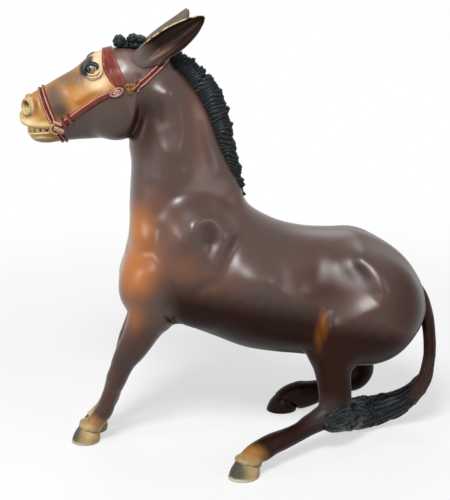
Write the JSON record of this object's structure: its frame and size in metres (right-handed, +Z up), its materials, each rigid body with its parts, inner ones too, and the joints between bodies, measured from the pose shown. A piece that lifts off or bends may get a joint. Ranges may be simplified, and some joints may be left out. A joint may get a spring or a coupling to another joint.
{
  "type": "toy mule figurine",
  "caption": "Hollow painted plastic mule figurine sitting back on its haunches, with a reddish halter, a cropped black mane, cupped ears and a tail that sweeps round to the near hock.",
  "frame": {"origin": "middle of the footprint at floor level, where the hooves stand", "axes": "+Z up, the head looks towards -X, the tail is towards +X, the animal's left side faces -Y"},
  "size_m": [0.1856, 0.091, 0.1926],
  "materials": {
    "hide": "dark chocolate brown paint with a reddish tint under a soft lacquer gloss, warmer orange on the chest and flank",
    "face": "golden tan paint round the eye and cheek, cream on the muzzle, brown on the jaw, soft gloss",
    "ear": "dark brown paint with worn cream rims, soft gloss",
    "hair": "black paint with cool grey highlights over moulded locks",
    "hoof": "greenish grey horn paint with a worn cream rim, satin",
    "halter": "red brown paint over raised bands, soft gloss",
    "fitting": "worn gold and cream paint, soft gloss",
    "eye": "near black paint, high gloss",
    "ivory": "cream tooth paint, soft gloss"
  },
  "bodies": {
    "root": {"left_body_shell": "hide", "right_body_shell": "hide", "left_head_shell": "face", "right_head_shell": "face", "left_foreleg": "hide", "left_fore_hoof": "hoof", "right_foreleg": "hide", "right_fore_hoof": "hoof", "left_hind_leg": "hide", "left_hind_hoof": "hoof", "right_hind_leg": "hide", "right_hind_hoof": "hoof", "tail_dock": "hide", "tail_tuft": "hair", "mane": "hair", "forelock": "hair", "left_ear": "ear", "right_ear": "ear", "left_eye": "eye", "right_eye": "eye", "teeth": "ivory", "noseband": "halter", "chin_strap": "halter", "brow_band": "halter", "crown_strap": "halter", "left_cheek_strap": "halter", "right_cheek_strap": "halter", "left_halter_ring": "fitting", "right_halter_ring": "fitting", "left_halter_knot": "fitting", "right_halter_knot": "fitting"}
  },
  "joints": []
}
